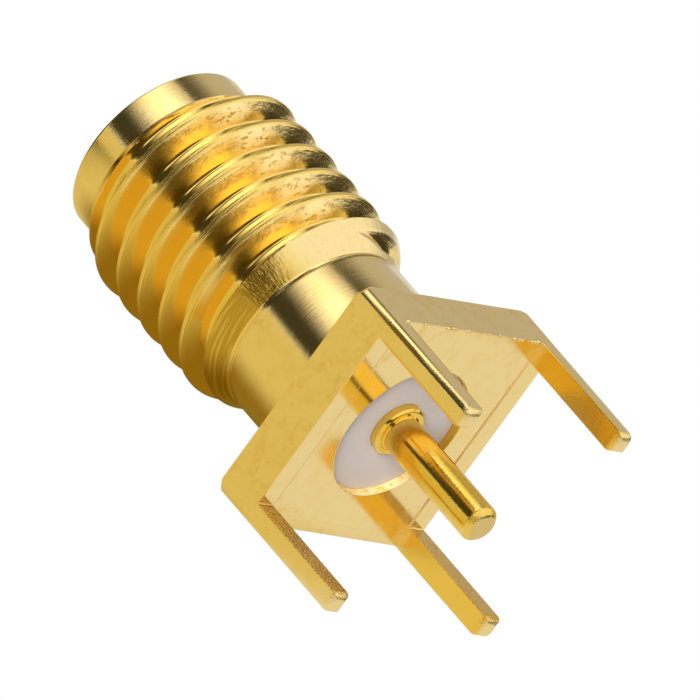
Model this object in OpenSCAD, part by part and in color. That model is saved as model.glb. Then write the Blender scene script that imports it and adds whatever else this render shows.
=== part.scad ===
// Board-mount miniature coaxial jack.
// A threaded barrel stands on a square flange with four solder legs. A PTFE insulator is pressed
// in from the board side, and a slotted contact runs through it and ends in a solder pin.
// The flange's underside, which seats on the board, is at z = 0, and the mating end points up.

/* [Flange and legs] */
// Side of the square flange
flange_side = 5.0; // [4.6:0.05:7]
// Thickness of the flange
flange_thick = 1.0; // [0.6:0.05:2]
// Radius on the four long corners of the square bar
corner_radius = 0.3; // [0.05:0.01:0.4]
// Side of each square leg
leg_side = 0.46; // [0.41:0.01:0.7]
// Length of the legs below the flange
leg_length = 2.66; // [1.5:0.01:5]
// Chamfer round the tip of each leg
leg_chamfer = 0.1; // [0.02:0.01:0.2]
// Extra depth of the second of the two crossing slots
slot_step = 0.02; // [0:0.005:0.1]

/* [Barrel] */
// Diameter of the plain neck above the flange
neck_dia = 3.9; // [3.6:0.02:3.92]
// Length of the neck
neck_length = 1.95; // [1:0.05:4]
// Depth of the fine groove turned into the neck below the thread
relief_depth = 0.02; // [0.01:0.005:0.05]
// Width of that groove
relief_width = 0.06; // [0.02:0.01:0.2]
// Length of neck left between the groove and the thread
relief_land = 0.1; // [0.05:0.01:0.3]
// Diameter of the plain lead-in at the mating end
lead_dia = 3.86; // [3.6:0.02:3.92]
// Length of the lead-in
lead_length = 0.7; // [0.3:0.05:2]
// Chamfer on the rim of the lead-in
lead_chamfer = 0.06; // [0.02:0.01:0.15]

/* [Thread] */
// Outside diameter of the thread
thread_dia = 4.75; // [4.7:0.01:5.2]
// Pitch of the right-hand thread, 36 turns to the inch
thread_pitch = 0.7056; // [0.6:0.0001:0.75]
// Length of the thread, with the cones at its two ends
thread_length = 4.6; // [3:0.05:8]
// Angle between the two flanks of the groove
flank_angle = 60; // [50:1:65]
// Angle between the axis and the cone at the thread's rear end
rear_cone_angle = 33; // [25:1:45]
// Angle between the axis and the cone at the thread's front end
front_cone_angle = 42; // [25:1:45]
// Steps of the groove in one turn
thread_steps = 48; // [24:4:60]

/* [Bores] */
// Diameter of the bore that takes the insulator from the board side
seat_bore_dia = 3.02; // [2.95:0.01:3.3]
// Depth of that bore, up to the shoulder
seat_bore_depth = 3.2; // [2:0.05:5]
// Diameter of the bore beyond the shoulder
front_bore_dia = 2.8; // [2.4:0.01:2.9]
// Diameter of the counterbore at the mating end
mating_bore_dia = 3.2; // [2.95:0.01:3.3]
// Depth of the counterbore
mating_bore_depth = 1.85; // [1:0.05:2.5]
// Chamfer at the mouth of the counterbore
mouth_chamfer = 0.08; // [0.02:0.01:0.12]
// Chamfer that breaks the bore's edge on the board side
seat_chamfer = 0.03; // [0.02:0.005:0.12]

/* [Insulator] */
// Depth of the insulator's rear face inside the flange
insulator_recess = 0.2; // [0.1:0.01:0.6]
// Clearance round the insulator
insulator_gap = 0.01; // [0.005:0.005:0.03]

/* [Centre contact] */
// Diameter of the solder pin
pin_dia = 0.79; // [0.5:0.01:0.9]
// Length of the solder pin below the flange
pin_length = 2.74; // [1.5:0.01:5]
// Chamfer at the tip of the pin
pin_chamfer = 0.12; // [0.02:0.01:0.2]
// Diameter of the collar
collar_dia = 1.12; // [1.0:0.01:1.4]
// Height of the collar that stands out of the insulator
collar_proud = 0.18; // [0.05:0.01:0.2]
// Depth of the collar's seat in the insulator
collar_seat = 0.4; // [0.2:0.05:1]
// Chamfer on the collar
collar_chamfer = 0.05; // [0.01:0.01:0.06]
// Diameter of the shank inside the insulator
shank_dia = 0.92; // [0.86:0.01:0.98]
// Height of the barb that holds the shank
barb_height = 0.06; // [0.02:0.01:0.12]
// Length of the barb's slope
barb_length = 0.4; // [0.2:0.05:0.8]
// Diameter of the socket
socket_dia = 0.84; // [0.7:0.01:0.85]
// Diameter of the hole for the mate's pin
socket_bore_dia = 0.5; // [0.4:0.01:0.6]
// Depth of that hole
socket_bore_depth = 2.0; // [1:0.05:3]
// Width of the slots in the socket
socket_slot_width = 0.08; // [0.04:0.01:0.09]
// Length of the slots in the socket
socket_slot_length = 1.6; // [0.5:0.05:2.5]
// Depth of the socket's end inside the insulator's mating face
socket_recess = 0.1; // [0.02:0.01:0.4]
// Chamfer inside and outside the socket's end
socket_chamfer = 0.05; // [0.02:0.01:0.06]
// Clearance round the contact
contact_gap = 0.02; // [0.01:0.005:0.04]

/* [Hidden] */
$fn = 96;
gold_plate = [0.86, 0.71, 0.40];
ptfe_white = [0.90, 0.88, 0.89];
// How far a cutting tool runs past the faces that it cuts
overrun = 0.2;
// Heights along the axis
neck_end = flange_thick + neck_length;
thread_end = neck_end + thread_length;
front_end = thread_end + lead_length;
mating_face = front_end - mating_bore_depth;
collar_end = insulator_recess - collar_proud;
shank_start = insulator_recess + collar_seat;
barb_start = (shank_start + seat_bore_depth - barb_length) / 2;
socket_end = mating_face - socket_recess;
// Radii
flange_half = flange_side / 2;
neck_radius = neck_dia / 2;
lead_radius = lead_dia / 2;
thread_radius = thread_dia / 2;
seat_radius = seat_bore_dia / 2;
front_radius = front_bore_dia / 2;
mating_radius = mating_bore_dia / 2;
pin_radius = pin_dia / 2;
collar_radius = collar_dia / 2;
shank_radius = shank_dia / 2;
socket_radius = socket_dia / 2;
socket_bore_radius = socket_bore_dia / 2;
// Thread form: a flat crest an eighth of the pitch wide, and a flat root a fifth of it
crest_width = thread_pitch / 8;
root_width = thread_pitch / 5;
// Radius that a flank gains for each unit of height
flank_rise = 1 / tan(flank_angle / 2);
root_radius = thread_radius - (thread_pitch - crest_width - root_width) / 2 * flank_rise;
// Radius that each end cone gains for each unit of height
rear_rise = tan(rear_cone_angle);
front_rise = tan(front_cone_angle);
// Heights where the two end cones meet the outside of the thread, and where they meet its root
rear_cone_end = neck_end + (thread_radius - neck_radius) / rear_rise;
front_cone_start = thread_end - (thread_radius - lead_radius) / front_rise;
root_start = neck_end + (root_radius - neck_radius) / rear_rise;
root_end = thread_end - (root_radius - lead_radius) / front_rise;
// Radius inside the barrel's wall to which the thread's sleeve reaches
sleeve_radius = (max(mating_radius, seat_radius) + min(neck_radius, lead_radius)) / 2;
thread_turns = ceil(thread_length / thread_pitch);
// Points closer than this are one point
same_point = 0.00001;

// Square bar with its long corners rounded
module bar_section() {
    inner = flange_side - 2 * corner_radius;
    square([inner, flange_side], center = true);
    square([flange_side, inner], center = true);
    for (x = [-1, 1], y = [-1, 1])
        translate([x, y] * inner / 2)
            circle(r = corner_radius);
}

// Side view of the bar, with a chamfered lower end
module bar_side() {
    tip = flange_half - leg_chamfer;
    polygon([
        [-flange_half, flange_thick], [-flange_half, leg_chamfer - leg_length], [-tip, -leg_length],
        [tip, -leg_length], [flange_half, leg_chamfer - leg_length], [flange_half, flange_thick]
    ]);
}

// End view of a slot that leaves a leg on each side, with a flared mouth
module slot_side(depth) {
    half = flange_half - leg_side;
    flare = half + leg_chamfer + overrun;
    polygon([
        [-half, depth], [-half, leg_chamfer - leg_length], [-flare, -leg_length - overrun],
        [flare, -leg_length - overrun], [half, leg_chamfer - leg_length], [half, depth]
    ]);
}

// A side view drawn in x and z, drawn out along y over the whole bar
module across_bar() {
    rotate([90, 0, 0])
        linear_extrude(flange_side + 2 * overrun, center = true)
            children();
}

// The bar, faced and chamfered, with two crossing slots milled from below to leave the legs
module flange_and_legs() {
    difference() {
        intersection() {
            translate([0, 0, -leg_length])
                linear_extrude(leg_length + flange_thick)
                    bar_section();
            across_bar()
                bar_side();
            rotate([0, 0, 90])
                across_bar()
                    bar_side();
        }
        across_bar()
            slot_side(slot_step);
        rotate([0, 0, 90])
            across_bar()
                slot_side(0);
    }
}

// The turned core: neck and lead-in, which meet inside the thread
module barrel_core() {
    middle = (neck_end + thread_end) / 2;
    relief_end = neck_end - relief_land;
    relief_radius = neck_radius - relief_depth;
    rotate_extrude()
        polygon([
            [0, flange_thick / 2],
            [neck_radius, flange_thick / 2],
            [neck_radius, relief_end - relief_width],
            [relief_radius, relief_end - relief_width],
            [relief_radius, relief_end],
            [neck_radius, relief_end],
            [neck_radius, middle],
            [lead_radius, middle],
            [lead_radius, front_end - lead_chamfer],
            [lead_radius - lead_chamfer, front_end],
            [0, front_end]
        ]);
}

// Radius of the turned blank at a height: its outside diameter and the cone at each end
function blank_radius(z) = min(
    thread_radius,
    neck_radius + (z - neck_end) * rear_rise,
    lead_radius + (thread_end - z) * front_rise
);

// Height that a flank runs, up (1) or down (-1) from its foot on the root, until it meets the blank
function flank_reach(foot, way) = max(0, min(
    (thread_radius - root_radius) / flank_rise,
    (foot - root_start) * rear_rise / (flank_rise - way * rear_rise),
    (root_end - foot) * front_rise / (flank_rise + way * front_rise)
));

function limit(value, low, high) = max(low, min(high, value));

// Points of one turn's ridge on a meridian: foot, edge, cone line, edge and foot
function ridge_points(crest) =
    let (
        half = (thread_pitch - root_width) / 2,
        low = crest - half,
        high = crest + half,
        low_edge = low + flank_reach(low, 1),
        high_edge = high - flank_reach(high, -1),
        cone_line = 2 * crest < neck_end + thread_end ? rear_cone_end : front_cone_start
    )
    [
        for (height = [low, low_edge, limit(cone_line, low_edge, high_edge), high_edge, high])
        let (z = limit(height, root_start, root_end))
        [min(blank_radius(z), root_radius + flank_rise * max(0, min(z - low, high - z))), z]
    ];

// Outline of the threaded sleeve on a meridian, at a share of a turn
function sleeve_outline(share) = concat(
    [
        [sleeve_radius, neck_end - (neck_radius - sleeve_radius) / rear_rise],
        [root_radius, root_start]
    ],
    [for (turn = [0:thread_turns]) each ridge_points(neck_end + thread_pitch * (turn + share - 0.5))],
    [
        [root_radius, root_end],
        [sleeve_radius, thread_end + (lead_radius - sleeve_radius) / front_rise]
    ]
);

// The right-hand thread: its outline climbs one pitch as it goes once round the barrel
module thread_sleeve() {
    outlines = [for (step = [0:thread_steps]) sleeve_outline(step / thread_steps)];
    count = len(outlines[0]);
    points = [
        for (step = [0:thread_steps], p = outlines[step])
        let (angle = 360 * step / thread_steps)
        [p[0] * cos(angle), p[0] * sin(angle), p[1]]
    ];
    faces = [
        for (step = [0:thread_steps - 1], row = [0:count - 1])
        let (
            a = step * count + row,
            b = step * count + (row + 1) % count
        )
        each [[a, b, a + count], [b, b + count, a + count]]
    ];
    polyhedron(points, [
        for (f = faces)
        if (min([for (i = [0:2]) norm(points[f[i]] - points[f[(i + 1) % 3]])]) > same_point)
        f
    ]);
}

// The body's bores, from the board side to the mating end
module body_bores() {
    rotate_extrude()
        polygon([
            [0, -overrun],
            [seat_radius + seat_chamfer + overrun, -overrun],
            [seat_radius, seat_chamfer],
            [seat_radius, seat_bore_depth],
            [front_radius, seat_bore_depth],
            [front_radius, mating_face],
            [mating_radius, mating_face],
            [mating_radius, front_end - mouth_chamfer],
            [mating_radius + mouth_chamfer + overrun, front_end + overrun],
            [0, front_end + overrun]
        ]);
}

// Outline of the contact from its collar to its socket, grown by a clearance
function contact_edge(gap, back, front) = [
    [collar_radius + gap, back],
    [collar_radius + gap, shank_start],
    [shank_radius + gap, shank_start],
    [shank_radius + gap, barb_start],
    [shank_radius + barb_height + gap, barb_start],
    [shank_radius + gap, barb_start + barb_length],
    [shank_radius + gap, seat_bore_depth],
    [socket_radius + gap, seat_bore_depth],
    [socket_radius + gap, front]
];

module body() {
    color(gold_plate)
        difference() {
            union() {
                flange_and_legs();
                barrel_core();
                thread_sleeve();
            }
            body_bores();
        }
}

module insulator() {
    back = insulator_recess;
    color(ptfe_white)
        difference() {
            rotate_extrude()
                polygon([
                    [0, back],
                    [seat_radius - insulator_gap, back],
                    [seat_radius - insulator_gap, seat_bore_depth],
                    [front_radius - insulator_gap, seat_bore_depth],
                    [front_radius - insulator_gap, mating_face],
                    [0, mating_face]
                ]);
            rotate_extrude()
                polygon(concat(
                    [[0, back - overrun]],
                    contact_edge(contact_gap, back - overrun, mating_face + overrun),
                    [[0, mating_face + overrun]]
                ));
        }
}

module centre_contact() {
    bore_end = socket_end - socket_bore_depth;
    slot_end = socket_end - socket_slot_length;
    color(gold_plate)
        difference() {
            rotate_extrude()
                polygon(concat(
                    [
                        [0, -pin_length],
                        [pin_radius - pin_chamfer, -pin_length],
                        [pin_radius, pin_chamfer - pin_length],
                        [pin_radius, collar_end],
                        [collar_radius - collar_chamfer, collar_end]
                    ],
                    contact_edge(0, collar_end + collar_chamfer, socket_end - socket_chamfer),
                    [[socket_radius - socket_chamfer, socket_end], [0, socket_end]]
                ));
            rotate_extrude()
                polygon([
                    [0, bore_end],
                    [socket_bore_radius, bore_end],
                    [socket_bore_radius, socket_end - socket_chamfer],
                    [socket_bore_radius + socket_chamfer + overrun, socket_end + overrun],
                    [0, socket_end + overrun]
                ]);
            for (angle = [45, 135])
                rotate([0, 0, angle])
                    translate([-socket_radius - overrun, -socket_slot_width / 2, slot_end])
                        cube([socket_dia + 2 * overrun, socket_slot_width, socket_slot_length + overrun]);
        }
}

body();
insulator();
centre_contact();
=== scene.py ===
import math
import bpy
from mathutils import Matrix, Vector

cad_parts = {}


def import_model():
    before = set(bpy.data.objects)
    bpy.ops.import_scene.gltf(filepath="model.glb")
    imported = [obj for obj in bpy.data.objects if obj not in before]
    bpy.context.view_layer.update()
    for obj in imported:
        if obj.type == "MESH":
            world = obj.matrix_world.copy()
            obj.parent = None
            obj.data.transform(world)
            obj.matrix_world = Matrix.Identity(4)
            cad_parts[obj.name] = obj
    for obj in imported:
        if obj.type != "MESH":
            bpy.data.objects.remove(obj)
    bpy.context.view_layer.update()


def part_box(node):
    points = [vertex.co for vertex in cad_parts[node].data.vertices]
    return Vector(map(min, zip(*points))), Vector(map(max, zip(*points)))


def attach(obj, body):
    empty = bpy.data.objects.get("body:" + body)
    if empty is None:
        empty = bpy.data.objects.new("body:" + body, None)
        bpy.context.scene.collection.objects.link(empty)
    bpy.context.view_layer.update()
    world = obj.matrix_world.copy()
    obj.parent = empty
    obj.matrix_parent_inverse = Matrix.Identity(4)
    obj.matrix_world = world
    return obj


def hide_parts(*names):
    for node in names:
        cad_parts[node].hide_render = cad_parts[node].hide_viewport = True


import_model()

from types import SimpleNamespace

import bmesh
import bpy
from mathutils import Matrix, Vector

# Sizes are in millimetres, and each finished mesh is scaled to metres.
MM = 0.001


def box_in_mm(node):
    low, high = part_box(node)
    return Vector(low) / MM, Vector(high) / MM


body_low, body_high = box_in_mm("body")
bead_low, bead_high = box_in_mm("insulator")
contact_low, contact_high = box_in_mm("centre_contact")

# Flange and legs
FLANGE_HALF = body_high.x
FLANGE_THICK = 1.0
CORNER_RADIUS = 0.17
FRONT_CORNERS = 3.37
LEG_SIDE = 0.46
SLOT_HALF = FLANGE_HALF - LEG_SIDE
SLOT_STEP = 0.02
LEG_TIP = body_low.z
LEG_ROUNDING = 0.15
# Barrel
NECK_RADIUS = 1.95
NECK_END = 2.95
RELIEF_DEPTH = 0.02
RELIEF_WIDTH = 0.05
RELIEF_LAND = 0.05
RELIEF_END = NECK_END - RELIEF_LAND
LEAD_RADIUS = 1.93
THREAD_END = 7.55
LEAD_CHAMFER = 0.06
FRONT_END = body_high.z
# Thread. The first crest and the run-out are counted in turns from the neck's end.
THREAD_RADIUS = 2.375
PITCH = 0.7056
FLANK_RISE = math.sqrt(3)
REAR_RISE = math.tan(math.radians(33))
FRONT_RISE = math.tan(math.radians(42))
CREST_WIDTH = PITCH / 8
ROOT_WIDTH = PITCH / 5
FIRST_CREST = 0.5
RUN_OUT_TURN = 0.3
RUN_OUT_RISE = 3.0
ROOT_RADIUS = THREAD_RADIUS - (PITCH - CREST_WIDTH - ROOT_WIDTH) / 2 * FLANK_RISE
# Bores and insulator. The bead's outline starts at its seam, on the flat rear face.
SEAT_RADIUS = 1.51
SEAT_DEPTH = 3.2
FRONT_RADIUS = 1.4
MATING_RADIUS = 1.6
MOUTH_CHAMFER = 0.08
SEAT_CHAMFER = 0.03
BEAD_BACK = bead_low.z
BEAD_FRONT = bead_high.z
BEAD_GAP = 0.004
BEAD_SEAM = 1.0
# Contact. The saw cuts are angles in degrees.
PIN_TIP = contact_low.z
PIN_RADIUS = 0.395
PIN_CHAMFER = 0.12
COLLAR_RADIUS = 0.56
COLLAR_CHAMFER = 0.05
COLLAR_END = 0.02
SHANK_RADIUS = 0.46
SHANK_START = 0.6
BARB_START = 1.7
BARB_LENGTH = 0.4
BARB_HEIGHT = 0.06
SOCKET_RADIUS = 0.42
SOCKET_BORE = 0.25
SOCKET_DEPTH = 2.0
SOCKET_END = contact_high.z
SOCKET_SLOT = 0.08
SOCKET_SLOT_LENGTH = 1.6
SAW_CUTS = (45, 135)
SOCKET_CHAMFER = 0.05
CONTACT_GAP = 0.003
# Burr crumbs: how far they stray, and their length and width as shares of their height
BURR_INSET = 0.01
CRUMBS = 80
CRUMB_SIZE = 0.04
LEAST_CRUMB = 0.25
CRUMB_LENGTH = 1.4
CRUMB_WIDTH = 0.8
STRAY_LOW = (-0.04, -0.004, -0.006)
STRAY_HIGH = (0.04, 0.004, 0.004)
TILT = 0.6
STRAY_SEED = 3
TILT_SEED = 5
SIZE_SEED = 8
# Cutting tools, which reach past the metal that they take off
TOOL_PAST = 1.0
TURNING_PAST = 0.1
TURNING_REACH = 0.5
# Fineness of the meshes
COLUMNS = 240
ROWS_PER_TURN = 36
SPARE_TURNS = 1
CORNER_STEPS = 8
TIP_SEGMENTS = 4
EDGE_SEGMENTS = 2
EDGE_ROUNDING = 0.02
CREST_ROUNDING = 0.05
ROOT_ROUNDING = 0.06
ROUNDING_SHARE = 0.45
SAME_POINT = 0.002
SAME_ANGLE = 0.001
WELD = SAME_POINT / 4
ROUNDED_ANGLE = math.radians(40)
SHARP_ANGLE = math.radians(32)


class Wire:
    """A node's output, on which Python's arithmetic makes Math nodes."""

    def __init__(self, bench, socket):
        self.bench = bench
        self.socket = socket

    def __getitem__(self, name):
        return Wire(self.bench, self.socket.node.outputs[name])

    def math(self, operation, *values):
        return self.bench.node("ShaderNodeMath", {"operation": operation}, dict(enumerate(values)))

    def __add__(self, other):
        return self.math("ADD", self, other)

    def __radd__(self, other):
        return self.math("ADD", other, self)

    def __sub__(self, other):
        return self.math("SUBTRACT", self, other)

    def __rsub__(self, other):
        return self.math("SUBTRACT", other, self)

    def __mul__(self, other):
        return self.math("MULTIPLY", self, other)

    def __rmul__(self, other):
        return self.math("MULTIPLY", other, self)

    def __truediv__(self, other):
        return self.math("DIVIDE", self, other)

    def __rtruediv__(self, other):
        return self.math("DIVIDE", other, self)

    def __pow__(self, other):
        return self.math("POWER", self, other)

    def __neg__(self):
        return self.math("MULTIPLY", self, -1)

    def __abs__(self):
        return self.math("ABSOLUTE", self)


class Bench:
    """The place where one tree's nodes are made."""

    def __init__(self, tree):
        self.tree = tree

    def node(self, kind, settings=None, sockets=None, output=0):
        made = self.tree.nodes.new(kind)
        for name, value in (settings or {}).items():
            setattr(made, name, value)
        for key, value in (sockets or {}).items():
            if isinstance(value, Wire):
                self.tree.links.new(value.socket, made.inputs[key])
            else:
                made.inputs[key].default_value = value
        return Wire(self, made.outputs[output]) if made.outputs else None


def smooth_least(first, second, width):
    return first.math("SMOOTH_MIN", first, second, width)


def smooth_most(first, second, width):
    return first.math("SMOOTH_MAX", first, second, width)


# Meshes


def soften(points, radius=EDGE_ROUNDING, steps=3):
    """Rounds the inner corners of an outline. A third value of a point is its own radius."""
    out = [points[0][:2]]
    for before, corner, after in zip(points, points[1:], points[2:]):
        here = Vector(corner[:2])
        back = Vector(before[:2]) - here
        ahead = Vector(after[:2]) - here
        turn = back.angle(ahead)
        rounding = corner[2] if len(corner) > 2 else radius
        longest = ROUNDING_SHARE * min(back.length, ahead.length)
        reach = min(rounding / math.tan(turn / 2), longest)
        start = here + back.normalized() * reach
        end = here + ahead.normalized() * reach
        for step in range(steps + 1):
            share = step / steps
            out.append(tuple(
                start * (1 - share) ** 2 + here * 2 * share * (1 - share) + end * share ** 2
            ))
    out.append(points[-1][:2])
    return out


def lathe(bm, outline, closed=False):
    """Turns an outline of radius and height round the axis."""
    rings = []
    for radius, height in outline:
        if radius < SAME_POINT:
            rings.append([bm.verts.new((0, 0, height))] * COLUMNS)
            continue
        rings.append([
            bm.verts.new((radius * math.cos(angle), radius * math.sin(angle), height))
            for angle in (math.tau * column / COLUMNS for column in range(COLUMNS))
        ])
    pairs = list(zip(rings, rings[1:]))
    if closed:
        pairs.append((rings[-1], rings[0]))
    for low, high in pairs:
        for column in range(COLUMNS):
            beside = (column + 1) % COLUMNS
            corners = [low[column], low[beside], high[beside], high[column]]
            bm.faces.new(list(dict.fromkeys(corners)))


def prism(bm, outline, low, high):
    """Draws an outline of x and y out along the axis."""
    bottom = [bm.verts.new((x, y, low)) for x, y in outline]
    top = [bm.verts.new((x, y, high)) for x, y in outline]
    bm.faces.new(bottom[::-1])
    bm.faces.new(top)
    for index in range(len(outline)):
        beside = (index + 1) % len(outline)
        bm.faces.new([bottom[index], bottom[beside], top[beside], top[index]])


def rectangle(half_x, half_y):
    return [(-half_x, -half_y), (half_x, -half_y), (half_x, half_y), (-half_x, half_y)]


def rounded_square(half, radius, steps):
    centre = half - radius
    points = []
    for quarter in range(4):
        start = quarter * math.pi / 2
        turn = Matrix.Rotation(start, 2)
        middle = turn @ Vector((centre, centre))
        for step in range(steps + 1):
            angle = start + math.pi / 2 * step / steps
            points.append((
                middle.x + radius * math.cos(angle),
                middle.y + radius * math.sin(angle),
            ))
    return points


def object_from(bm, name):
    mesh = bpy.data.meshes.new(name)
    bmesh.ops.recalc_face_normals(bm, faces=bm.faces)
    bm.to_mesh(mesh)
    bm.free()
    made = bpy.data.objects.new(name, mesh)
    bpy.context.scene.collection.objects.link(made)
    return made


def evaluated_mesh(source):
    depsgraph = bpy.context.evaluated_depsgraph_get()
    return bpy.data.meshes.new_from_object(source.evaluated_get(depsgraph))


def cut(blank, *tools):
    """Takes each tool's form out of the blank, and the tool out of the scene."""
    for tool in tools:
        modifier = blank.modifiers.new("cut", "BOOLEAN")
        modifier.operation = "DIFFERENCE"
        modifier.solver = "EXACT"
        modifier.object = tool
        mesh = evaluated_mesh(blank)
        blank.modifiers.clear()
        blank.data = mesh
        bpy.data.objects.remove(tool)


def take_mesh(bm, source):
    """Adds an object's mesh to a piece, and takes the object out of the scene."""
    bm.from_mesh(source.data)
    bpy.data.objects.remove(source)


def thread_tree(material):
    """Geometry Nodes: a sheared grid wrapped round the barrel, raised to the ridge of a screw thread."""
    tree = bpy.data.node_groups.new("thread skin", "GeometryNodeTree")
    tree.interface.new_socket("Geometry", in_out="OUTPUT", socket_type="NodeSocketGeometry")
    for name in (
        "Pitch", "Outside", "Root", "Neck Radius", "Neck End", "Lead Radius", "Thread End",
        "Crest Rounding", "Root Rounding", "Edge Rounding", "Run Out Turn", "Run Out Rise",
    ):
        tree.interface.new_socket(name, in_out="INPUT", socket_type="NodeSocketFloat")
    bench = Bench(tree)
    size = bench.node("NodeGroupInput")
    pitch, neck_end, thread_end = size["Pitch"], size["Neck End"], size["Thread End"]
    turns = math.ceil((THREAD_END - NECK_END) / PITCH) + 2 * SPARE_TURNS
    grid = bench.node("GeometryNodeMeshGrid", None, {
        "Size X": 1, "Size Y": 1, "Vertices X": COLUMNS + 1, "Vertices Y": turns * ROWS_PER_TURN + 1,
    })
    # The grid lies about its middle, with one turn in X and all the turns in Y.
    place = bench.node("ShaderNodeSeparateXYZ", None, {0: bench.node("GeometryNodeInputPosition")})
    share = place["X"] + 0.5
    climb = (place["Y"] + 0.5) * turns - SPARE_TURNS + share
    height = climb.math("MINIMUM", climb.math("MAXIMUM", neck_end + pitch * climb, neck_end), thread_end)
    turn = (height - neck_end) / pitch - share + FIRST_CREST
    from_crest = abs(turn - turn.math("ROUND", turn)) * pitch
    ridge_half = pitch * ((1 - ROOT_WIDTH / PITCH) / 2)
    flank = size["Root"] + (ridge_half - from_crest) * FLANK_RISE
    along_groove = turn.math("FLOOR", turn) + share
    withdrawn = (size["Run Out Turn"] - along_groove) * size["Run Out Rise"]
    bottom = size["Root"] + withdrawn.math("MAXIMUM", withdrawn, 0)
    ridge = smooth_most(flank, bottom, size["Root Rounding"])
    rear_cone = size["Neck Radius"] + (height - neck_end) * REAR_RISE
    front_cone = size["Lead Radius"] + (thread_end - height) * FRONT_RISE
    crested = smooth_least(ridge, size["Outside"], size["Crest Rounding"])
    ends = smooth_least(rear_cone, front_cone, size["Edge Rounding"])
    radius = smooth_least(crested, ends, size["Edge Rounding"])
    angle = share * math.tau
    wrapped = bench.node("ShaderNodeCombineXYZ", None, {
        "X": radius * angle.math("COSINE", angle), "Y": radius * angle.math("SINE", angle), "Z": height,
    })
    skin = bench.node("GeometryNodeSetPosition", None, {"Geometry": grid, "Position": wrapped})
    welded = bench.node("GeometryNodeMergeByDistance", None, {"Geometry": skin, "Distance": WELD})
    realized = bench.node("GeometryNodeRealizeInstances", None, {"Geometry": welded})
    finished = bench.node("GeometryNodeSetMaterial", None, {"Geometry": realized, "Material": material})
    bench.node("NodeGroupOutput", None, {"Geometry": finished})
    return tree


def grown(name, tree, sizes):
    """An object with the mesh that a Geometry Nodes tree makes from its sizes."""
    carrier = bpy.data.objects.new(name, bpy.data.meshes.new(name))
    bpy.context.scene.collection.objects.link(carrier)
    modifier = carrier.modifiers.new(name, "NODES")
    modifier.node_group = tree
    for socket in tree.interface.items_tree:
        if socket.in_out == "INPUT":
            modifier[socket.identifier] = sizes[socket.name]
    mesh = evaluated_mesh(carrier)
    carrier.modifiers.remove(modifier)
    carrier.data = mesh
    return carrier


def thread_skin(material):
    return grown("thread skin", thread_tree(material), {
        "Pitch": PITCH, "Outside": THREAD_RADIUS, "Root": ROOT_RADIUS, "Neck Radius": NECK_RADIUS,
        "Neck End": NECK_END, "Lead Radius": LEAD_RADIUS, "Thread End": THREAD_END,
        "Crest Rounding": CREST_ROUNDING, "Root Rounding": ROOT_ROUNDING, "Edge Rounding": EDGE_ROUNDING,
        "Run Out Turn": RUN_OUT_TURN, "Run Out Rise": RUN_OUT_RISE,
    })


def burr_tree(material):
    """Geometry Nodes: crumbs of metal of mixed sizes along the edge that the slot mill left last."""
    tree = bpy.data.node_groups.new("milling burr", "GeometryNodeTree")
    tree.interface.new_socket("Geometry", in_out="OUTPUT", socket_type="NodeSocketGeometry")
    for name in ("Half Length", "Edge", "Height", "Crumb"):
        tree.interface.new_socket(name, in_out="INPUT", socket_type="NodeSocketFloat")
    tree.interface.new_socket("Crumbs", in_out="INPUT", socket_type="NodeSocketInt")
    bench = Bench(tree)
    size = bench.node("NodeGroupInput")

    def corner(x):
        return bench.node("ShaderNodeCombineXYZ", None, {"X": x, "Y": size["Edge"], "Z": size["Height"]})

    def scatter(low, high, seed):
        return bench.node(
            "FunctionNodeRandomValue", {"data_type": "FLOAT_VECTOR"}, {0: low, 1: high, "Seed": seed}
        )

    line = bench.node("GeometryNodeMeshLine", {"mode": "END_POINTS"}, {
        "Count": size["Crumbs"],
        "Start Location": corner(-size["Half Length"]),
        "Offset": corner(size["Half Length"]),
    })
    shaken = bench.node("GeometryNodeSetPosition", None, {
        "Geometry": line, "Offset": scatter(STRAY_LOW, STRAY_HIGH, STRAY_SEED),
    })
    chance = bench.node(
        "FunctionNodeRandomValue", {"data_type": "FLOAT"}, {2: 0.0, 3: 1.0, "Seed": SIZE_SEED}, output=1
    )
    crumb = size["Crumb"] * (LEAST_CRUMB + chance ** 3)
    shape = bench.node("ShaderNodeCombineXYZ", None, {
        "X": crumb * CRUMB_LENGTH, "Y": crumb * CRUMB_WIDTH, "Z": crumb,
    })
    pieces = bench.node("GeometryNodeInstanceOnPoints", None, {
        "Points": shaken,
        "Instance": bench.node("GeometryNodeMeshIcoSphere", None, {"Radius": 1.0, "Subdivisions": 2}),
        "Rotation": scatter((-TILT,) * 3, (TILT,) * 3, TILT_SEED),
        "Scale": shape,
    })
    realized = bench.node("GeometryNodeRealizeInstances", None, {"Geometry": pieces})
    finished = bench.node("GeometryNodeSetMaterial", None, {"Geometry": realized, "Material": material})
    bench.node("NodeGroupOutput", None, {"Geometry": finished})
    return tree


def milling_burr(material):
    return grown("milling burr", burr_tree(material), {
        "Half Length": SLOT_HALF, "Edge": FLANGE_HALF - BURR_INSET, "Height": SLOT_STEP,
        "Crumb": CRUMB_SIZE, "Crumbs": CRUMBS,
    })


def mouth_radius(height):
    """Radius of the seat bore's chamfer at a height above the flange's underside."""
    return SEAT_RADIUS + SEAT_CHAMFER - height


def off_column(vert):
    """Angle from a vertex to the nearest column of a turned surface."""
    return abs(math.remainder(math.atan2(vert.co.y, vert.co.x), math.tau / COLUMNS))


def in_slot_floor(edge):
    """Tells the edges of the shallow step in the flange's underside, which stay sharp."""
    return all(
        abs(vert.co.z) < 2 * SLOT_STEP and abs(vert.co.x) < SLOT_HALF + SAME_POINT
        for vert in edge.verts
    )


def round_edges(bm, edges, radius, segments):
    bmesh.ops.bevel(bm, geom=edges, offset=radius, segments=segments, profile=0.5, affect="EDGES")


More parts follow.
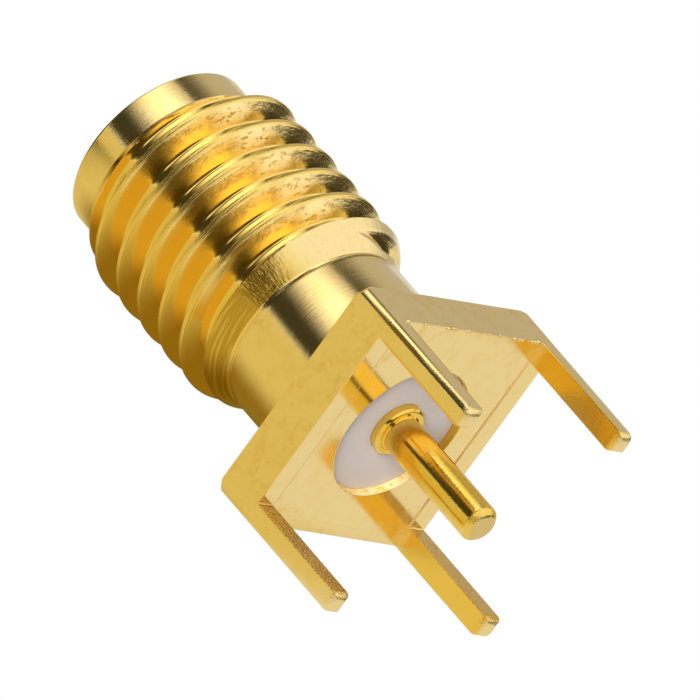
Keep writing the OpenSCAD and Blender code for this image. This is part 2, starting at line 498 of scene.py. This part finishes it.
def flange():
    """The square bar with its two crossing slots and four legs, open where the barrel joins it."""
    bm = bmesh.new()
    prism(bm, rounded_square(FLANGE_HALF, CORNER_RADIUS, CORNER_STEPS), LEG_TIP, FLANGE_THICK)
    bar = object_from(bm, "bar")
    past = FLANGE_HALF + TOOL_PAST
    bm = bmesh.new()
    lathe(bm, [
        (FRONT_CORNERS - TURNING_PAST, FLANGE_THICK + TURNING_PAST),
        (FRONT_CORNERS + TURNING_REACH, FLANGE_THICK + TURNING_PAST),
        (FRONT_CORNERS + TURNING_REACH, FLANGE_THICK - TURNING_REACH),
    ], closed=True)
    tools = [object_from(bm, "corner turning")]
    for half_x, half_y, depth in ((SLOT_HALF, past, SLOT_STEP), (past, SLOT_HALF, 0)):
        bm = bmesh.new()
        prism(bm, rectangle(half_x, half_y), LEG_TIP - TOOL_PAST, depth)
        tools.append(object_from(bm, "slot mill"))
    bm = bmesh.new()
    middle = FLANGE_THICK / 2
    lathe(bm, [
        (0, -TOOL_PAST), (mouth_radius(SLOT_STEP), -TOOL_PAST), (mouth_radius(SLOT_STEP), middle),
        (NECK_RADIUS, middle), (NECK_RADIUS, FLANGE_THICK + TOOL_PAST), (0, FLANGE_THICK + TOOL_PAST),
    ])
    tools.append(object_from(bm, "plug"))
    cut(bar, *tools)

    bm = bmesh.new()
    take_mesh(bm, bar)
    plug_walls = [
        face for face in bm.faces
        if all(vert.co.xy.length < NECK_RADIUS + SAME_POINT for vert in face.verts)
    ]
    bmesh.ops.delete(bm, geom=plug_walls, context="FACES")
    between_columns = [
        vert for vert in bm.verts if vert.is_boundary and off_column(vert) > SAME_ANGLE
    ]
    bmesh.ops.dissolve_verts(bm, verts=between_columns)
    tips = [
        edge for edge in bm.edges
        if all(abs(vert.co.z - LEG_TIP) < SAME_POINT for vert in edge.verts)
    ]
    round_edges(bm, tips, LEG_ROUNDING, TIP_SEGMENTS)
    edges = [
        edge for edge in bm.edges
        if edge.is_manifold and edge.calc_face_angle() > ROUNDED_ANGLE and not in_slot_floor(edge)
    ]
    round_edges(bm, edges, EDGE_ROUNDING, EDGE_SEGMENTS)
    return object_from(bm, "flange")


def body_mesh(material):
    bm = bmesh.new()
    take_mesh(bm, thread_skin(material))
    take_mesh(bm, flange())
    take_mesh(bm, milling_burr(material))
    groove = NECK_RADIUS - RELIEF_DEPTH
    lathe(bm, soften([
        (NECK_RADIUS, FLANGE_THICK),
        (NECK_RADIUS, RELIEF_END - RELIEF_WIDTH),
        (groove, RELIEF_END - RELIEF_WIDTH),
        (groove, RELIEF_END),
        (NECK_RADIUS, RELIEF_END),
        (NECK_RADIUS, NECK_END),
    ], RELIEF_DEPTH / 2, steps=2))
    lathe(bm, soften([
        (LEAD_RADIUS, THREAD_END),
        (LEAD_RADIUS, FRONT_END - LEAD_CHAMFER),
        (LEAD_RADIUS - LEAD_CHAMFER, FRONT_END),
        (MATING_RADIUS + MOUTH_CHAMFER, FRONT_END),
        (MATING_RADIUS, FRONT_END - MOUTH_CHAMFER),
        (MATING_RADIUS, BEAD_FRONT),
        (FRONT_RADIUS, BEAD_FRONT),
        (FRONT_RADIUS, SEAT_DEPTH),
        (SEAT_RADIUS, SEAT_DEPTH),
        (SEAT_RADIUS, SEAT_CHAMFER, SEAT_CHAMFER / 2),
        (mouth_radius(SLOT_STEP), SLOT_STEP),
    ]))
    return bm


def contact_edge(gap, back, front):
    """Outline of the contact's middle, which the bead's bore follows at a gap."""
    return [
        (COLLAR_RADIUS + gap, back),
        (COLLAR_RADIUS + gap, SHANK_START),
        (SHANK_RADIUS + gap, SHANK_START),
        (SHANK_RADIUS + gap, BARB_START),
        (SHANK_RADIUS + BARB_HEIGHT + gap, BARB_START),
        (SHANK_RADIUS + gap, BARB_START + BARB_LENGTH),
        (SHANK_RADIUS + gap, SEAT_DEPTH),
        (SOCKET_RADIUS + gap, SEAT_DEPTH),
        (SOCKET_RADIUS + gap, front),
    ]


def insulator_mesh():
    bm = bmesh.new()
    outside = [
        (SEAT_RADIUS - BEAD_GAP, BEAD_BACK),
        (SEAT_RADIUS - BEAD_GAP, SEAT_DEPTH),
        (FRONT_RADIUS - BEAD_GAP, SEAT_DEPTH),
        (FRONT_RADIUS - BEAD_GAP, BEAD_FRONT),
    ]
    inside = contact_edge(CONTACT_GAP, BEAD_BACK, BEAD_FRONT)
    start = (BEAD_SEAM, BEAD_BACK)
    lathe(bm, soften([start, *outside, *reversed(inside), start], EDGE_ROUNDING / 2)[:-1], closed=True)
    return bm


def contact_mesh():
    bm = bmesh.new()
    outline = [
        (0, PIN_TIP),
        (PIN_RADIUS - PIN_CHAMFER, PIN_TIP, PIN_CHAMFER),
        (PIN_RADIUS, PIN_TIP + PIN_CHAMFER, PIN_CHAMFER),
        (PIN_RADIUS, COLLAR_END, COLLAR_CHAMFER),
        (COLLAR_RADIUS - COLLAR_CHAMFER, COLLAR_END, COLLAR_CHAMFER),
        *contact_edge(0, COLLAR_END + COLLAR_CHAMFER, SOCKET_END - SOCKET_CHAMFER),
        (SOCKET_RADIUS - SOCKET_CHAMFER, SOCKET_END),
        (SOCKET_BORE + SOCKET_CHAMFER, SOCKET_END),
        (SOCKET_BORE, SOCKET_END - SOCKET_CHAMFER),
        (SOCKET_BORE, SOCKET_END - SOCKET_DEPTH),
        (0, SOCKET_END - SOCKET_DEPTH),
    ]
    lathe(bm, soften(outline))
    blank = object_from(bm, "contact blank")
    tools = []
    for angle in SAW_CUTS:
        bm = bmesh.new()
        blade = rectangle(2 * SOCKET_RADIUS, SOCKET_SLOT / 2)
        prism(bm, blade, SOCKET_END - SOCKET_SLOT_LENGTH, SOCKET_END + TOOL_PAST)
        bmesh.ops.rotate(bm, verts=bm.verts, matrix=Matrix.Rotation(math.radians(angle), 3, "Z"))
        tools.append(object_from(bm, "slitting saw"))
    cut(blank, *tools)
    bm = bmesh.new()
    take_mesh(bm, blank)
    return bm


def finish_piece(bm, name, material, node):
    """Closes a piece, brings it to metres and puts it in the place of its CAD node."""
    bmesh.ops.remove_doubles(bm, verts=bm.verts, dist=SAME_POINT)
    bmesh.ops.scale(bm, vec=(MM, MM, MM), verts=bm.verts)
    piece = object_from(bm, name)
    piece.data.shade_smooth()
    piece.data.set_sharp_from_angle(angle=SHARP_ANGLE)
    modifier = piece.modifiers.new("flat faces stay flat", "WEIGHTED_NORMAL")
    modifier.keep_sharp = True
    mesh = evaluated_mesh(piece)
    piece.modifiers.clear()
    piece.data = mesh
    piece.data.name = name
    piece.data.materials.clear()
    piece.data.materials.append(material)
    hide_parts(node)
    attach(piece, "root")


# Materials


def bare_bench(owner):
    """Turns an owner's nodes on, clears them and gives the bench for new ones."""
    owner.use_nodes = True
    owner.node_tree.nodes.clear()
    return Bench(owner.node_tree)


class Surface:
    """A material's bench, with places on the part in millimetres."""

    def __init__(self, name):
        self.material = bpy.data.materials.new(name)
        self.bench = bare_bench(self.material)
        place = self.bench.node("ShaderNodeTexCoord", output="Object")
        self.place = self.bench.node(
            "ShaderNodeVectorMath", {"operation": "SCALE"}, {0: place, "Scale": 1 / MM}
        )
        axes = self.bench.node("ShaderNodeSeparateXYZ", None, {0: self.place})
        self.x, self.y, self.z = axes["X"], axes["Y"], axes["Z"]
        self.radius = (self.x * self.x + self.y * self.y) ** 0.5

    def noise(self, per_mm, detail, place=None, along=0.0):
        return self.bench.node("ShaderNodeTexNoise", {"noise_dimensions": "4D"}, {
            "Vector": place or self.place, "W": along, "Scale": per_mm,
            "Detail": detail, "Roughness": NOISE_ROUGHNESS,
        })

    def streaks(self, x, y, z, detail, along=0.0):
        """Noise on stretched places, so that it runs in lines as tool marks do."""
        place = self.bench.node("ShaderNodeCombineXYZ", None, {"X": x, "Y": y, "Z": z})
        return self.noise(1.0, detail, place, along)

    def from_crest(self):
        """Distance along the axis from the nearest crest of the thread, in millimetres."""
        angle = self.y.math("ARCTAN2", self.y, self.x)
        turn = (self.z - NECK_END) / PITCH - angle / math.tau + FIRST_CREST
        return (turn - turn.math("ROUND", turn)) * PITCH

    def step(self, value, start, end):
        """Rises smoothly from 0 at start to 1 at end."""
        return self.bench.node(
            "ShaderNodeMapRange", {"interpolation_type": "SMOOTHSTEP"},
            {"Value": value, "From Min": start, "From Max": end, "To Min": 0.0, "To Max": 1.0},
        )

    def near(self, value, outer, inner):
        """Is 1 within the inner distance of zero, and falls smoothly to 0 at the outer one."""
        return self.step(abs(value), outer, inner)

    def mix(self, share, first, second):
        return self.bench.node(
            "ShaderNodeMix", {"data_type": "RGBA"}, {0: share, 6: first, 7: second}, output=2
        )

    def finish(self, constants, colour, roughness, height, depth, metallic):
        """Closes the material with a bump of the given depth in millimetres."""
        bump = self.bench.node(
            "ShaderNodeBump", None, {"Strength": 1.0, "Distance": depth * MM, "Height": height}
        )
        shader = self.bench.node("ShaderNodeBsdfPrincipled", None, {
            **constants, "Base Color": colour, "Roughness": roughness,
            "Metallic": metallic, "Normal": bump,
        })
        self.bench.node("ShaderNodeOutputMaterial", None, {"Surface": shader})
        return self.material

    def glow(self, colour):
        """Closes the material as a light, for what only reflections see."""
        light = self.bench.node("ShaderNodeEmission", None, {"Color": colour, "Strength": 1.0})
        self.bench.node("ShaderNodeOutputMaterial", None, {"Surface": light})
        return self.material


GOLD = (1.0, 0.76, 0.32, 1)
GOLD_WORN = (0.97, 0.71, 0.26, 1)
# Deeper gold of the thread, its cone and the contact: partly the plating's tone, partly painted reflection
# of light bounced between gold faces.
GOLD_DEEP = (0.98, 0.70, 0.19, 1)
# Deeper gold of the slot faces and the bore wall: partly the plating's tone, partly painted reflection of
# light bounced between facing gold walls.
GOLD_SLOT = (0.96, 0.60, 0.085, 1)
# Gold of the contact: partly its plating's tone, partly painted reflection of light bounced between gold
# faces.
GOLD_PIN = (0.95, 0.63, 0.09, 1)
GOLD_TIP = (0.80, 0.57, 0.20, 1)
BARE_EDGE = (1.0, 0.82, 0.42, 1)
GOLD_TORN = (0.62, 0.40, 0.15, 1)
# Paler gold: a painted highlight on the cone's +Y side, and the real pale of torn metal on the flanks.
GOLD_PALE = (1.0, 0.80, 0.42, 1)
# Painted shade on the cone between the flange and the thread.
CONE_PAINTED_SHADE = (0.52, 0.30, 0.02, 1)
GOLD_STAIN = (0.88, 0.58, 0.16, 1)
# Painted shade in the relief groove at the cone's foot.
GROOVE_PAINTED_SHADE = (0.30, 0.24, 0.08, 1)
PTFE_WHITE = (0.83, 0.765, 0.735, 1)
PTFE_CREAM = (0.78, 0.71, 0.68, 1)
# Painted shade for the bead's lower side.
PTFE_PAINTED_SHADE = (0.62, 0.54, 0.50, 1)
NOISE_ROUGHNESS = 0.6
GOLD_BUMP = 0.01
PTFE_BUMP = 0.003


def body_zones(surface):
    """Masks of the body's places. Each pair of numbers is where a mask starts and ends, in millimetres."""
    x, y, z, radius = surface.x, surface.y, surface.z, surface.radius
    step, near = surface.step, surface.near
    flange_middle = FLANGE_THICK / 2
    barrel = step(z, FLANGE_THICK, FLANGE_THICK + 0.02)
    legs = step(z, -0.02, -0.05)
    inward = x.math("MINIMUM", abs(x), abs(y))
    bore = step(radius, SEAT_RADIUS + 0.02, SEAT_RADIUS + 0.005) * (1 - barrel)
    threaded = step(z, NECK_END, NECK_END + 0.03) * step(z, THREAD_END, THREAD_END - 0.03)
    off_cone = radius - NECK_RADIUS - (z - NECK_END) * REAR_RISE
    cone = (
        threaded * near(off_cone, 0.05, 0.02)
        * step(radius, THREAD_RADIUS - 0.01, THREAD_RADIUS - 0.04)
    )
    screw = threaded * (1 - cone)
    from_crest = surface.from_crest()
    below_crest = screw * step(abs(from_crest), 0.05, 0.08)
    return SimpleNamespace(
        barrel=barrel,
        underside=near(z, 0.04, 0.03),
        step_wall=(
            near(z - SLOT_STEP / 2, 0.014, 0.011) * near(abs(x) - SLOT_HALF, 0.02, 0.01)
            * near(y, SLOT_HALF, SLOT_HALF - 0.01)
        ),
        sides=near(z - flange_middle, flange_middle, flange_middle - 0.02) * step(radius, 2.3, 2.4),
        legs=legs,
        tips=step(z, LEG_TIP + 0.24, LEG_TIP + 0.1),
        slot_faces=step(z, 0.0, -0.25) * step(inward, SLOT_HALF + 0.08, SLOT_HALF + 0.02),
        gritty=legs * near(y + SLOT_HALF, 0.03, 0.015),
        groove=near(z - RELIEF_END + RELIEF_WIDTH / 2, 0.03, 0.02) * step(y, 0.3, 1.0),
        bore=bore,
        scraped=bore * step(y, -0.2, -0.9),
        threaded=threaded,
        cone=cone,
        screw=screw,
        from_crest=from_crest,
        crest=screw * near(from_crest, 0.07, 0.045),
        upper_flank=below_crest * near(from_crest, 0.24, 0.14),
        flank=below_crest * near(from_crest, 0.3, 0.2),
    )


def body_marks(surface, from_crest):
    """Noises for the marks of the tools and of wear, with their densities to the millimetre."""
    x, y, z, radius = surface.x, surface.y, surface.z, surface.radius
    return SimpleNamespace(
        turned=surface.streaks(x * 2.2, y * 2.2, z * 36, 3.0),
        milled=surface.streaks(x * 22, y * 0.9, z, 3.0),
        torn=surface.streaks(x * 6, y * 6, from_crest * 22, 4.0, z * 1.4),
        combed=surface.streaks(x * 1.5, y * 1.5, from_crest * 38, 3.0, z * 1.4),
        lines=surface.streaks(x * 0.6, y * 0.6, z * 15, 2.0),
        strokes=surface.streaks(x / radius * 44, y / radius * 44, z * 6, 3.0),
        grit=surface.noise(20, 3.0),
        grain=surface.noise(14, 3.0),
        mottle=surface.noise(2.4, 4.0),
        stains=surface.noise(3.6, 5.0, along=4.0),
        patches=surface.noise(7.0, 3.0),
    )


def body_height(surface, zone, mark):
    """Sum of the marks on the body. Each factor is a mark's height as a share of the bump's depth."""
    y, step = surface.y, surface.step
    stroked = step(y, 0.0, 0.7) * (1.3 - 0.8 * step(y, 0.9, 1.5))
    gritty = zone.gritty * 1.4 + zone.scraped * 2.0 + zone.sides * 0.12 + zone.legs * 0.25 + zone.tips * 0.9
    return (
        mark.turned * (zone.barrel * (1 - zone.threaded) * 0.4 + zone.cone * step(y, 0.7, 0.0) * 0.4)
        + mark.strokes * zone.cone * stroked
        + mark.milled * zone.underside * 0.07
        + mark.grain * (1 - zone.underside) * (1 - zone.screw) * 0.08
        + mark.combed * zone.screw * 0.1
        + mark.torn * zone.upper_flank * step(y, 0.6, 1.5) * 1.1
        + mark.combed * zone.crest * 0.7
        + mark.grit * gritty
    )


def body_roughness(surface, zone, mark):
    """The plate's own roughness and what each place adds to it."""
    rings = surface.step(mark.turned, 0.5, 0.72) * zone.barrel
    return (
        0.08 + mark.mottle * 0.05 + rings * 0.06 + zone.crest * 0.14 + zone.upper_flank * 0.08
        + zone.cone * 0.06 + zone.sides * 0.12 + zone.legs * 0.07 + zone.tips * 0.1
        + zone.bore * 0.1 + zone.scraped * 0.24 + zone.step_wall * 0.5
    )


def body_colour(surface, zone, mark, chatter):
    """Gold deeper in the thread and slots, partly painted bounced light; painted shade, glints and
    highlight on the cone; painted shade in the groove; torn on one side.
    """
    x, y, step, mix = surface.x, surface.y, surface.step, surface.mix
    # Spots and lines where the cone's painted shade is lifted: painted glints.
    painted_glints = (
        step(y, 0.2, 0.6) * step(mark.strokes, 0.52, 0.64)
        + step(y, 0.4, 0.0) * step(mark.lines, 0.48, 0.6) * 0.5
    )
    # Paler places: a painted highlight on the cone's +Y side, and the real pale of torn and chattered metal
    # on the flanks.
    pale = (
        zone.cone * step(y, 1.1, 1.7) + chatter * 0.5
        + zone.upper_flank * step(y, 0.8, 1.6) * step(mark.torn, 0.6, 0.5) * 0.5
    )
    pits = (
        zone.cone * step(y, 0.9, 1.4) * step(mark.strokes, 0.5, 0.62) * 0.25
        + zone.upper_flank * step(y, 0.6, 1.5) * step(mark.torn, 0.48, 0.6) * (1 - chatter * 0.5)
        + zone.gritty * step(mark.grit, 0.48, 0.56)
    )
    bare = mix(step(mark.grit * 0.5 + mark.patches * 0.5, 0.51, 0.56), BARE_EDGE, GOLD_SLOT)
    colour = mix(step(mark.mottle, 0.42, 0.75), GOLD, GOLD_WORN)
    for share, gold in (
        # Deeper gold in the thread and cone, partly painted reflection of bounced light.
        (zone.screw.math("MAXIMUM", zone.screw, zone.cone), GOLD_DEEP),
        # Deeper gold on the slot faces, partly painted reflection between the facing legs.
        (zone.slot_faces * (1 - 0.65 * step(x - y, 3, 4)), GOLD_SLOT),
        # Painted shade on the cone, lifted at the painted glints.
        (zone.cone * step(y, 1.5, 0.8) * (0.8 - 0.8 * painted_glints), CONE_PAINTED_SHADE),
        # Painted highlight on the cone's +Y side, with pale torn metal.
        (pale * 0.7, GOLD_PALE),
        (pits * 0.6, GOLD_TORN),
        (step(mark.stains, 0.5, 0.68) * zone.sides * 0.5, GOLD_STAIN),
        # Painted shade in the relief groove.
        (zone.groove * 0.8, GROOVE_PAINTED_SHADE),
        (zone.step_wall * 0.8, GOLD_TORN),
        # Deeper gold on the bore wall, partly painted reflection.
        (zone.bore, GOLD_SLOT),
        (zone.scraped, bare),
    ):
        colour = mix(share, colour, gold)
    return colour


def body_gold():
    surface = Surface("gold plated body")
    x, y, step = surface.x, surface.y, surface.step
    zone = body_zones(surface)
    mark = body_marks(surface, zone.from_crest)
    chatter = (
        zone.flank * step(x, 0.25, 0.55) * step(x, 1.3, 0.95) * step(y, 0.6, 1.5)
        * step(mark.torn, 0.64, 0.5)
    )
    return surface.finish(
        {},
        body_colour(surface, zone, mark, chatter),
        body_roughness(surface, zone, mark),
        body_height(surface, zone, mark),
        GOLD_BUMP,
        1 - zone.scraped * 0.85 - zone.step_wall * 0.8 - chatter * 0.7,
    )


def contact_gold():
    surface = Surface("gold plated contact")
    x, y, z = surface.x, surface.y, surface.z
    tip = surface.step(z, PIN_TIP + 0.03, PIN_TIP + 0.005)
    tip_edge = surface.step(z, PIN_TIP + 0.2, PIN_TIP + 0.1) * (1 - tip)
    turned = surface.streaks(x * 0.9, y * 0.9, z * 20, 3.0)
    drawn = surface.streaks(x * 16, y * 16, z * 0.8, 3.0)
    grit = surface.noise(20, 3.0)
    grain = surface.noise(14, 3.0)
    mottle = surface.noise(3.0, 4.0)
    height = turned * 0.15 + drawn * 0.15 + grain * 0.12 + grit * (0.1 + tip_edge * 1.2)
    roughness = 0.12 + mottle * 0.08 + tip_edge * 0.12
    # Deeper gold of the contact, partly painted reflection of light bounced between gold faces.
    colour = surface.mix(surface.step(mottle, 0.42, 0.75), GOLD_PIN, GOLD_DEEP)
    colour = surface.mix(tip, colour, GOLD_TIP)
    return surface.finish({}, colour, roughness, height, GOLD_BUMP, 1.0)


def white_ptfe():
    surface = Surface("white ptfe")
    rings = surface.streaks(surface.radius * 16, surface.x * 0.3, surface.y * 0.3, 2.0)
    mottle = surface.noise(1.6, 4.0)
    colour = surface.mix(surface.step(mottle, 0.35, 0.7), PTFE_WHITE, PTFE_CREAM)
    # Painted shade: the bead darker towards the bottom.
    colour = surface.mix(surface.step(surface.y, 0.8, -1.4) * 0.5, colour, PTFE_PAINTED_SHADE)
    constants = {"IOR": 1.35, "Subsurface Weight": 0.25, "Subsurface Scale": 0.2 * MM}
    return surface.finish(
        constants, colour, 0.42 + mottle * 0.12, rings + mottle * 0.6, PTFE_BUMP, 0.0
    )


# Stage. The part is lit as if it lay on a table with +Y up, so the room stands about that axis.
ROOM_RADIUS = 66
TABLE_HALF = 60
TABLE_GAP = 0.1
FLOOR_HALF = 600
FLOOR_THICK = 0.01
WHITE = (1, 1, 1, 1)
STUDIO_GREY = (0.42, 0.41, 0.41, 1)
FLOOR_PALE = (0.93, 0.93, 0.93, 1)
ROOM_DARK = (0.05, 0.045, 0.03, 1)
ROOM_WALL = (0.52, 0.50, 0.48, 1)
ROOM_WINDOW = (1.5, 1.48, 1.42, 1)
TABLE_WHITE = (0.80, 0.80, 0.79, 1)
# Painted light bounced from the gold onto the table.
TABLE_PAINTED_BOUNCE = (0.72, 0.63, 0.30, 1)
TABLE_SHADE = (0.28, 0.18, 0.02, 1)
TABLE_DARK = (0.025, 0.02, 0.006, 1)
FLAG_DARK = (0.14, 0.105, 0.04, 1)


def only_reflected(made):
    """Leaves an object to reflections alone."""
    made.visible_camera = False
    made.visible_diffuse = False
    made.visible_shadow = False
    made.visible_transmission = False


def room_glow():
    """A wall with a bright window ahead and dark beside it, and white behind. Places are in degrees."""
    surface = Surface("room")
    step, mix = surface.step, surface.mix
    x, y, z = surface.x, surface.y, surface.z
    turn = x.math("ARCTAN2", x, z) * math.degrees(1)
    rise = y.math("ARCSINE", y / (x * x + y * y + z * z) ** 0.5) * math.degrees(1)
    frame_side = step(turn, -2, -9) * step(turn, -50, -16) * step(rise, 30, 44)
    skirting = step(rise, 9, 3) * step(turn, -40, -20)
    beside = step(turn, 0, 18)
    shadows = turn.math("MAXIMUM", frame_side * 0.88, turn.math("MAXIMUM", skirting, beside))
    slanted_jamb = step(turn + (rise - 27) * 0.35, 59.5, 54)
    window = step(turn, -8, 22) * step(rise, 16, 42) * slanted_jamb
    ahead = mix(shadows, ROOM_WALL, ROOM_DARK)
    ahead = mix(window, ahead, ROOM_WINDOW)
    ahead = mix(step(rise, 60, 68), ahead, WHITE)
    behind = mix(step(rise, 17, 21), ROOM_DARK, WHITE)
    facing = step(turn, -95, -80) * step(turn, 100, 75)
    return surface.glow(mix(facing, behind, ahead))


def room():
    """The half sphere above the table that the gold reflects."""
    bm = bmesh.new()
    bmesh.ops.create_uvsphere(bm, u_segments=48, v_segments=24, radius=ROOM_RADIUS * MM)
    below = [face for face in bm.faces if face.calc_center_median().y < 0]
    bmesh.ops.delete(bm, geom=below, context="FACES")
    made = object_from(bm, "room")
    made.data.materials.append(room_glow())
    only_reflected(made)


def panel(name, corners, material):
    """A flat card with its corners at the given places, in millimetres."""
    bm = bmesh.new()
    bm.faces.new([bm.verts.new(Vector(corner) * MM) for corner in corners])
    made = object_from(bm, name)
    made.data.materials.append(material)
    only_reflected(made)


def flag():
    """A dark card that keeps the window off the solder pin and the edge of the leg beside it."""
    corners = [(5, 2, 0.2), (5, 6.3, 1.6), (5, 6.3, 3.6), (5, 2, 2.0)]
    panel("dark flag", corners, Surface("dark flag").glow(FLAG_DARK))


def table():
    """The white table: painted light bounced from the gold in front of the barrel, painted shadow under it,
    dark far ahead.
    """
    surface = Surface("white table")
    x, z, step, near = surface.x, surface.z, surface.step, surface.near
    under_barrel = near(x, 2.9, 1.1) * step(z, -0.5, 1.5)
    far_ahead = step(z, 9, 15) * near(x, 10, 7)
    # Painted light bounced from the gold in front of the barrel.
    colour = surface.mix(step(z + x * 0.8, -1.5, 2.5), TABLE_WHITE, TABLE_PAINTED_BOUNCE)
    colour = surface.mix(under_barrel * step(z, 9.2, 8.2), colour, TABLE_SHADE)
    colour = surface.mix(far_ahead, colour, TABLE_DARK)
    level = -FLANGE_HALF - TABLE_GAP
    corners = [(across, level, ahead) for across, ahead in rectangle(TABLE_HALF, TABLE_HALF)]
    panel("table", corners, surface.glow(colour))


def direction(azimuth, elevation):
    """Unit vector at an azimuth from +X, anticlockwise from above, and an elevation."""
    turn, rise = math.radians(azimuth), math.radians(elevation)
    return Vector((math.cos(turn) * math.cos(rise), math.sin(turn) * math.cos(rise), math.sin(rise)))


def lamp(name, azimuth, elevation, distance, size, power):
    """A round soft lamp that faces the origin, with its distance and size in millimetres."""
    light = bpy.data.lights.new(name, "AREA")
    light.shape = "DISK"
    light.size = size * MM
    light.energy = power
    made = bpy.data.objects.new(name, light)
    made.location = direction(azimuth, elevation) * distance * MM
    made.rotation_euler = direction(azimuth, elevation).to_track_quat("Z", "Y").to_euler()
    made.visible_glossy = False
    bpy.context.scene.collection.objects.link(made)


def floor():
    """A pale floor that the camera sees from above alone, so that the view from below stays clear."""
    bm = bmesh.new()
    level = min(LEG_TIP, PIN_TIP)
    prism(bm, rectangle(FLOOR_HALF, FLOOR_HALF), level - FLOOR_THICK, level)
    bmesh.ops.scale(bm, vec=(MM, MM, MM), verts=bm.verts)
    made = object_from(bm, "floor")
    material = bpy.data.materials.new("pale floor")
    bench = bare_bench(material)
    path = bench.node("ShaderNodeLightPath")
    face = bench.node("ShaderNodeNewGeometry")
    normal = bench.node("ShaderNodeSeparateXYZ", None, {0: face["Normal"]})
    seen = path["Is Camera Ray"] * (1 - face["Backfacing"])
    seen = seen * normal.math("GREATER_THAN", normal["Z"], 0.5)
    pale = bench.node("ShaderNodeBsdfPrincipled", None, {"Base Color": FLOOR_PALE, "Roughness": 0.8})
    clear = bench.node("ShaderNodeBsdfTransparent")
    mixed = bench.node("ShaderNodeMixShader", None, {0: seen, 1: clear, 2: pale})
    bench.node("ShaderNodeOutputMaterial", None, {"Surface": mixed})
    made.data.materials.append(material)
    made.visible_shadow = False


def world():
    """White to the camera and in reflections, and a soft grey light on everything else."""
    made = bpy.data.worlds.new("white studio")
    bpy.context.scene.world = made
    bench = bare_bench(made)
    path = bench.node("ShaderNodeLightPath")
    white = path.math(
        "MAXIMUM",
        path.math("MAXIMUM", path["Is Camera Ray"], path["Is Glossy Ray"]),
        path["Is Transmission Ray"],
    )
    colour = bench.node(
        "ShaderNodeMix", {"data_type": "RGBA"}, {0: white, 6: STUDIO_GREY, 7: WHITE}, output=2
    )
    glow = bench.node("ShaderNodeBackground", None, {"Color": colour, "Strength": 1.0})
    bench.node("ShaderNodeOutputWorld", None, {"Surface": glow})


# The camera looks at the board side from below, without perspective. The picture is 700 pixels wide.
PICTURE = 700
PIXELS_PER_MM = 53.48
ORIGIN_PIXEL = (401.6, 434.0)
CAMERA_RIGHT = Vector((-0.6220, 0.5529, -0.5545))
CAMERA_UP = Vector((0.1006, 0.7588, 0.6437))
CAMERA_DISTANCE = 50
CLIP_NEAR = 10
CLIP_FAR = 10000


def camera():
    right = CAMERA_RIGHT.normalized()
    back = right.cross(CAMERA_UP).normalized()
    up = back.cross(right)
    aim = (
        right * (PICTURE / 2 - ORIGIN_PIXEL[0]) / PIXELS_PER_MM
        + up * (ORIGIN_PIXEL[1] - PICTURE / 2) / PIXELS_PER_MM
    )
    data = bpy.data.cameras.new("camera")
    data.type = "ORTHO"
    data.ortho_scale = PICTURE / PIXELS_PER_MM * MM
    data.clip_start = CLIP_NEAR * MM
    data.clip_end = CLIP_FAR * MM
    made = bpy.data.objects.new("camera", data)
    made.matrix_world = Matrix.Translation((aim + back * CAMERA_DISTANCE) * MM) @ Matrix(
        (right, up, back)
    ).transposed().to_4x4()
    bpy.context.scene.collection.objects.link(made)
    bpy.context.scene.camera = made


gold = body_gold()
finish_piece(body_mesh(gold), "connector_body", gold, "body")
finish_piece(insulator_mesh(), "ptfe_bead", white_ptfe(), "insulator")
finish_piece(contact_mesh(), "contact", contact_gold(), "centre_contact")

world()
floor()
table()
room()
flag()
lamp("key lamp", azimuth=50, elevation=45, distance=60, size=40, power=0.012)
lamp("fill lamp", azimuth=25, elevation=-18, distance=60, size=30, power=0.045)
camera()

bpy.context.scene.view_settings.view_transform = "Standard"
